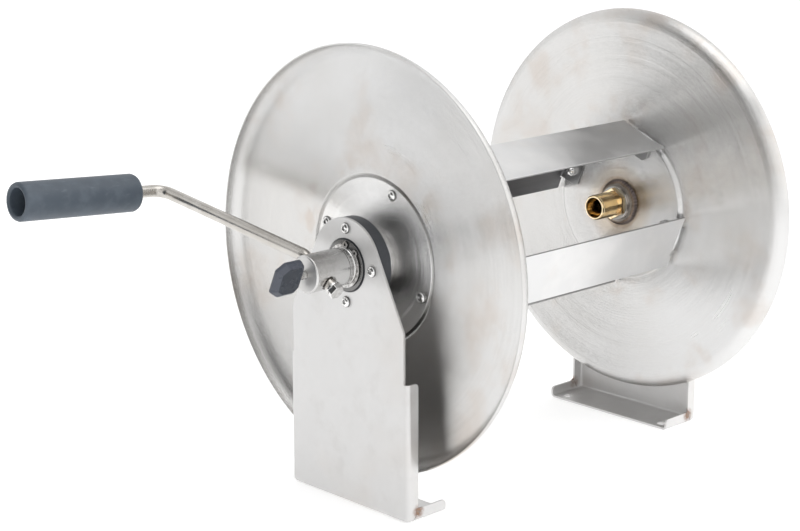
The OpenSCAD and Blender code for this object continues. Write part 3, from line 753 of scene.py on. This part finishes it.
class Bar:
    """A round bar that grows from its end, straight or round a bend."""

    def __init__(self, radius, segments, place):
        self.bm = bmesh.new()
        bmesh.ops.create_circle(self.bm, cap_ends=True, radius=radius, segments=segments,
                                matrix=place @ Matrix.Rotation(math.pi / 2, 4, "X"))
        self.ring = list(self.bm.edges)

    def straight(self, move, grow=1.0):
        made = bmesh.ops.extrude_edge_only(self.bm, edges=self.ring)["geom"]
        verts = [item for item in made if isinstance(item, bmesh.types.BMVert)]
        self.ring = [item for item in made if isinstance(item, bmesh.types.BMEdge)
                     and all(vert in verts for vert in item.verts)]
        centre = sum((vert.co for vert in verts), Vector()) / len(verts)
        for vert in verts:
            vert.co = centre + (vert.co - centre) * grow + move

    def bend(self, centre, axis, angle, steps):
        verts = list({vert for edge in self.ring for vert in edge.verts})
        made = bmesh.ops.spin(self.bm, geom=verts + self.ring, cent=centre, axis=axis,
                              angle=angle, steps=steps)["geom_last"]
        self.ring = [item for item in made if isinstance(item, bmesh.types.BMEdge)]

    def close(self):
        bmesh.ops.edgeloop_fill(self.bm, edges=self.ring)
        bmesh.ops.recalc_face_normals(self.bm, faces=self.bm.faces)
        return self.bm


def drawn_steel():
    """Satin bar with fine lines along it and a warm, slightly dull colour."""
    finish = Finish("drawn_steel", Metallic=1.0)
    drawn_out = finish.vector(finish.x * 1200, finish.y * 30, finish.z * 900)
    lines = finish.noise(1, 3, drawn_out)
    clouds = finish.noise(40, 3).ramp(0.4, 0.7)
    finish.colour(finish.mix(clouds * 0.7 + lines * 0.3, rod_dull, rod_pale))
    finish.roughness(0.20 + 0.12 * lines)
    finish.relief(lines, rod_relief)
    return finish


root_turn = root_place.to_3x3()
arm_turn = arm_place.to_3x3()
rod = Bar(rod_radius - rod_chamfer, rod_segments,
          root_place @ Matrix.Translation((0, rod_end, 0)))
along_root = root_turn @ Vector((0, 1, 0))
along_arm = arm_turn @ Vector((0, 1, 0))
along_grip = arm_turn @ Vector((-1, 0, 0))
rod.straight(along_root * rod_chamfer, rod_radius / (rod_radius - rod_chamfer))
rod.straight(along_root * (root_straight - rod_end - rod_chamfer))
rod.bend(root_place @ Vector((0, root_straight, -bend_radius)), root_turn @ Vector((1, 0, 0)),
         -first_bend, first_bend_steps)
rod.straight(along_arm * (arm_length - bend_radius - bend_radius * math.tan(first_bend / 2)))
rod.bend(arm_place @ Vector((-bend_radius, arm_length - bend_radius, 0)),
         arm_turn @ Vector((0, 0, 1)), math.pi / 2, grip_bend_steps)
rod.straight(along_grip * (rod_tip - bend_radius - rod_chamfer))
rod.straight(along_grip * rod_chamfer, 1 - rod_chamfer / rod_radius)
crank = publish("bent_rod", rod.close(), drawn_steel(), "arm")
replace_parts(crank, "crank_rod")
eased("stop_bolt", bright, bolt_edge)
eased("stop_washer", bright, ring_edge)
eased("grip_retainer", bright, ring_edge)

# ---- Grip -------------------------------------------------------------------------------
# A moulded plastic sleeve that turns on the rod, with a rounded rim and an open outer end
# where a push-on ring holds it. The surface is lightly grained and scuffed.
grip_radius = 0.0185
grip_start = 0.036
grip_end = 0.168
grip_floor = 0.144
grip_bore = 0.013
grip_hole = 0.0062
grip_rounding = 0.003
grip_steps = 96
grip_dark = (0.068, 0.086, 0.108)
grip_pale = (0.118, 0.143, 0.173)
bevel_facing = (0.93, 0.985)
bevel_highlight_strength = 0.65
moulded_relief = 0.00006

grip_place = (arm_place @ Matrix.Translation((0, arm_length, 0))
              @ Matrix.Rotation(math.pi, 4, "Z"))
grip_outline = [
    (grip_start, grip_hole, 0.0005),
    (grip_start, grip_radius, grip_rounding),
    (grip_end, grip_radius, grip_rounding),
    (grip_end, grip_bore, 0.0022),
    (grip_floor, grip_bore, 0.001),
    (grip_floor, grip_hole, 0.0004)]


def slate_plastic(name, dark, pale, base_roughness, flat=None, bevel_highlight=None):
    """Moulded slate plastic: a fine grain, cloudy wear, short scuffs, and a painted highlight on
    bevels.
    """
    finish = Finish(name, Specular_IOR_Level=0.45)
    wear = finish.noise(55, 5).ramp(0.42, 0.72)
    drawn_out = finish.vector(finish.x * 90, finish.y * 260, finish.z * 260)
    scuffs = finish.noise(1, 4, drawn_out).ramp(0.58, 0.75)
    skin = finish.mix(wear * 0.6 + scuffs * 0.5, dark, pale)
    if flat:
        # Painted highlight: bevels turned away from the flat faces are painted paler.
        bevels = facing_along(finish, flat).ramp(*bevel_facing, bevel_highlight_strength, 0)
        skin = finish.mix(bevels, skin, bevel_highlight)
    finish.colour(skin)
    grain = finish.noise(1500, 2)
    finish.roughness(base_roughness + 0.14 * wear)
    finish.relief(grain * 0.6 + scuffs * 0.4, moulded_relief)
    return finish


slate = slate_plastic("grip_plastic", grip_dark, grip_pale, 0.46)
sleeve = publish("grip_sleeve", turned(grip_outline, grip_steps, grip_place), slate, "grip")
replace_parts(sleeve, "crank_grip")

# ---- Clamp knob -------------------------------------------------------------------------
# A moulded wing knob on a threaded stud. Its stud screws into the end of the axle and clamps
# the rod. Its bevels are painted paler than its two flat faces, a painted highlight.
knob_start = 0.2675
knob_lean = math.radians(24)
knob_edge = 0.0006
knob_face = ((0.0027, 0.0090), (0.0064, 0.0135), (0.0192, 0.0139), (0.0262, 0.0088))
knob_rim = ((0, 0.0115), (0.0051, 0.0178), (0.0228, 0.0178))
knob_tip = ((0.0318, 0.0115),)
knob_layers = ((knob_face, 0.005), (knob_rim, 0.0018), (knob_tip, 0.0015))
knob_nearly_flat = math.radians(2)
knob_dark = (0.022, 0.029, 0.041)
knob_pale = (0.042, 0.051, 0.068)
knob_painted_highlight = (0.092, 0.100, 0.126)
stud_radius = 0.004
stud_edge = 0.0002
stud_inset = 0.0003
stud_pitch = 0.00125
stud_depth = 0.0007

knob_place = (Matrix.Translation((-knob_start, 0, axis_height)) @ near_side
              @ Matrix.Rotation(knob_lean + math.pi / 2, 4, "X"))
knob = bmesh.new()
for corners, half_thickness in knob_layers:
    for out, across in corners:
        for side in (-1, 1):
            for face in (-1, 1):
                knob.verts.new((out, across * side, half_thickness * face))
bmesh.ops.convex_hull(knob, input=knob.verts)
bmesh.ops.dissolve_limit(knob, angle_limit=knob_nearly_flat, verts=knob.verts, edges=knob.edges)
bmesh.ops.bevel(knob, geom=knob.edges, offset=knob_edge, offset_type="OFFSET", affect="EDGES",
                segments=edge_segments, profile=0.5, material=-1, clamp_overlap=True)
bmesh.ops.transform(knob, matrix=knob_place, verts=knob.verts)
bmesh.ops.recalc_face_normals(knob, faces=knob.faces)
knob_flat = tuple(knob_place.to_3x3() @ Vector((0, 0, 1)))
knob_slate = slate_plastic("knob_plastic", knob_dark, knob_pale, 0.24, knob_flat, knob_painted_highlight)
wing = publish("wing_knob", knob, knob_slate, "knob")
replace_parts(wing, "clamp_knob")

stud_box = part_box("knob_stud")
stud_foot = Vector((stud_box[0].x, 0, axis_height))
stud_length = stud_box[1].x - stud_box[0].x
eased("knob_stud", bright, stud_edge,
      turned_down(stud_foot, along_drum, stud_length, stud_radius, stud_depth))
ridge = thread("stud_thread", stud_foot + along_drum * stud_inset, along_drum,
               stud_length - 2 * stud_inset, stud_radius, stud_pitch, stud_depth,
               bright, "knob_screw")

# ---- Seals ------------------------------------------------------------------------------
# Two black rubber cords in grooves keep the swivel tight. They are hidden inside it, so they
# keep the plain shape that the frame gives them.
rubber_black = (0.012, 0.012, 0.012)
rubber_dusty = (0.04, 0.04, 0.04)

rubber = Finish("seal_rubber", Specular_IOR_Level=0.3)
dust = rubber.noise(500, 3)
rubber.colour(rubber.mix(dust, rubber_black, rubber_dusty))
rubber.roughness(0.5 + 0.2 * dust)
seals = frame["nodes"]["swivel_seals"]
seals.data.materials.clear()
seals.data.materials.append(rubber.material)

# ---- Studio -----------------------------------------------------------------------------
# A plain pale floor under a bright sky that is dim towards the crank and brightest to the
# right of the camera, with a large soft light above and a weak one at the left.
floor_size = 30
floor_drop = 0.0003
floor_glow = 0.40
floor_pale = (0.90, 0.90, 0.90)
floor_white = (0.92, 0.92, 0.92)
sky_low = 1.01
sky_high = 0.70
sky_rise = (0.55, 0.8)
sky_dim = 0.08
dim_side = (-0.94, 0.20, 0.27)
dim_reach = (0.80, 0.93)
sky_bright = 1.4
bright_side = (0.72, -0.69, 0.05)
bright_reach = (0.3, 0.8)
sky_white = (1, 1, 1, 1)

floor = bpy.data.objects.new("floor", bpy.data.meshes.new("floor"))
floor_mesh = bmesh.new()
bmesh.ops.create_grid(floor_mesh, x_segments=1, y_segments=1, size=floor_size / 2,
                      matrix=Matrix.Translation((0, 0, -floor_drop)))
floor_mesh.to_mesh(floor.data)
floor_mesh.free()
bpy.context.scene.collection.objects.link(floor)
pale = Finish("pale_floor", Specular_IOR_Level=0.1, Emission_Strength=floor_glow)
pale.colour(pale.mix(pale.noise(2, 2), floor_pale, floor_white))
pale.roughness(0.7 + 0.1 * pale.noise(30, 2))
floor.data.materials.append(pale.material)

world = bpy.data.worlds.new("studio")
world.use_nodes = True
sky = world.node_tree


def sky_ramp(value, start, end, low, high):
    """A smooth change of the sky's strength, from low to high."""
    ramp = sky.nodes.new("ShaderNodeMapRange")
    ramp.interpolation_type = "SMOOTHSTEP"
    sky.links.new(value, ramp.inputs[0])
    for place, number in enumerate((start, end, low, high), start=1):
        ramp.inputs[place].default_value = number
    return ramp.outputs[0]


def sky_towards(direction):
    """How far a direction of the sky points the same way as another, from -1 to 1."""
    dot = sky.nodes.new("ShaderNodeVectorMath")
    dot.operation = "DOT_PRODUCT"
    sky.links.new(sky_place, dot.inputs[0])
    dot.inputs[1].default_value = direction
    return dot.outputs["Value"]


def sky_product(first, second):
    """One strength of the sky times another."""
    times = sky.nodes.new("ShaderNodeMath")
    times.operation = "MULTIPLY"
    sky.links.new(first, times.inputs[0])
    sky.links.new(second, times.inputs[1])
    return times.outputs[0]


sky_place = sky.nodes.new("ShaderNodeTexCoord").outputs["Generated"]
strength = sky_ramp(sky_towards((0, 0, 1)), *sky_rise, sky_low, sky_high)
strength = sky_product(strength, sky_ramp(sky_towards(dim_side), *dim_reach, 1, sky_dim))
strength = sky_product(strength, sky_ramp(sky_towards(bright_side), *bright_reach, 1, sky_bright))
sky.links.new(strength, sky.nodes["Background"].inputs["Strength"])
sky.nodes["Background"].inputs["Color"].default_value = sky_white
bpy.context.scene.world = world


def soft_light(name, place, towards, size, power):
    """A square lamp, size across, that faces a point."""
    lamp = bpy.data.objects.new(name, bpy.data.lights.new(name, "AREA"))
    lamp.data.shape = "RECTANGLE"
    lamp.data.size = lamp.data.size_y = size
    lamp.data.energy = power
    lamp.location = place
    facing = Vector(towards) - Vector(place)
    lamp.rotation_euler = facing.to_track_quat("-Z", "Y").to_euler()
    bpy.context.scene.collection.objects.link(lamp)


soft_light("top_light", place=(0.2, -0.4, 2.2), towards=(0, 0, 0.2), size=1.8, power=13)
soft_light("left_light", place=(-1.7, 1.7, 0.8), towards=(-0.1, 0, 0.2), size=1.4, power=1)

bpy.context.scene.view_settings.view_transform = "Standard"
bpy.context.scene.view_settings.look = "None"
